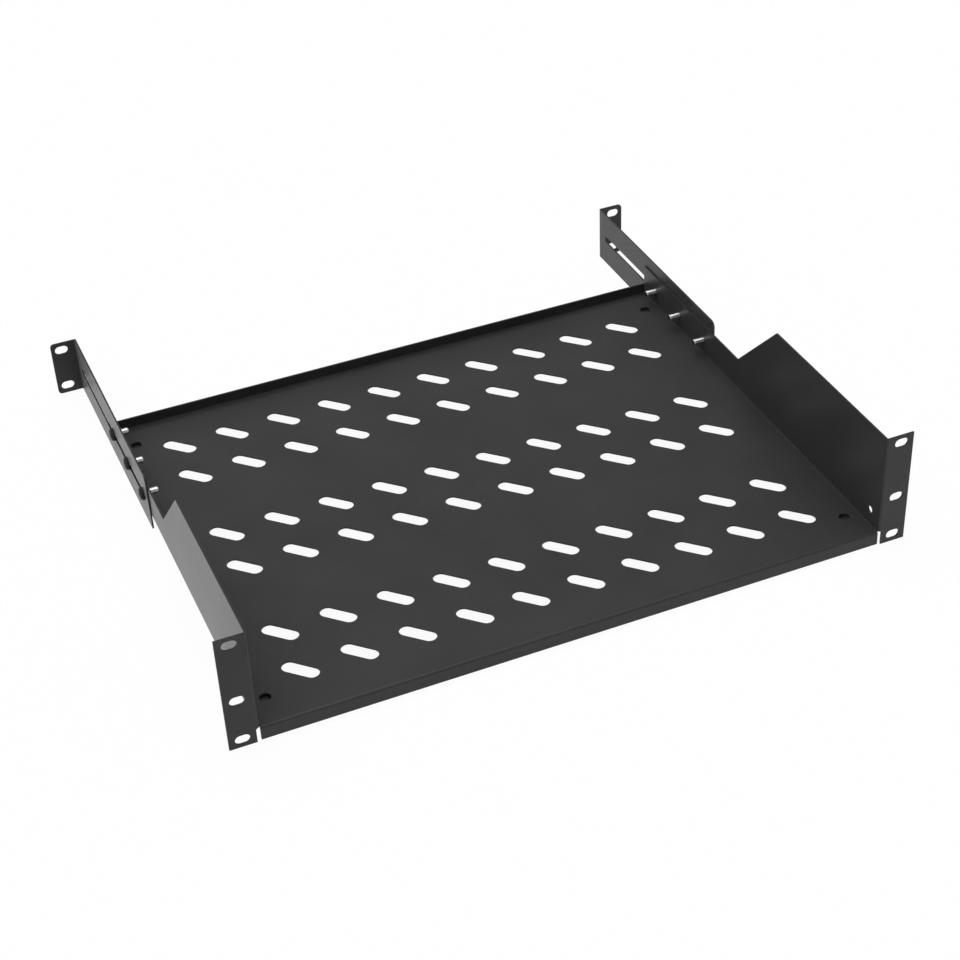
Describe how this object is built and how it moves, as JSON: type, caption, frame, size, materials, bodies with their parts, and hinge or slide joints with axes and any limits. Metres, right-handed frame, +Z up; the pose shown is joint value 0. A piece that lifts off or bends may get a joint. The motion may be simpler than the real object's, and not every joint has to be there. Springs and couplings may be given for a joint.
{
  "type": "rack shelf",
  "caption": "Two-unit vented shelf for a 19 inch rack: folded steel tray with front ears and two slotted brackets that slide out to the rear rails.",
  "frame": {"origin": "centre of the rectangle of the four outer rack slots, on the back face of the front ears", "axes": "+X across the rack to the right as seen from the front, +Y from the front ears to the rear, +Z up"},
  "size_m": [0.4848, 0.437, 0.0882],
  "materials": {
    "black_powder_coat": "fine-textured semi-matt black powder coat on folded steel sheet",
    "screw_steel": "bright zinc plated shank, blackened head"
  },
  "bodies": {
    "tray": {"shelf_tray": "black_powder_coat", "bracket_screw_left_1": "screw_steel", "bracket_screw_left_2": "screw_steel", "bracket_screw_left_3": "screw_steel", "bracket_screw_right_1": "screw_steel", "bracket_screw_right_2": "screw_steel", "bracket_screw_right_3": "screw_steel"},
    "left_bracket": {"rear_bracket_left": "black_powder_coat"},
    "right_bracket": {"rear_bracket_right": "black_powder_coat"}
  },
  "joints": [
    {"name": "left_bracket_slide", "type": "slide", "parent": "tray", "child": "left_bracket", "axis": [0, 1, 0], "range_m": [-0.0913, 0]},
    {"name": "right_bracket_slide", "type": "slide", "parent": "tray", "child": "right_bracket", "axis": [0, 1, 0], "range_m": [-0.0913, 0]}
  ]
}
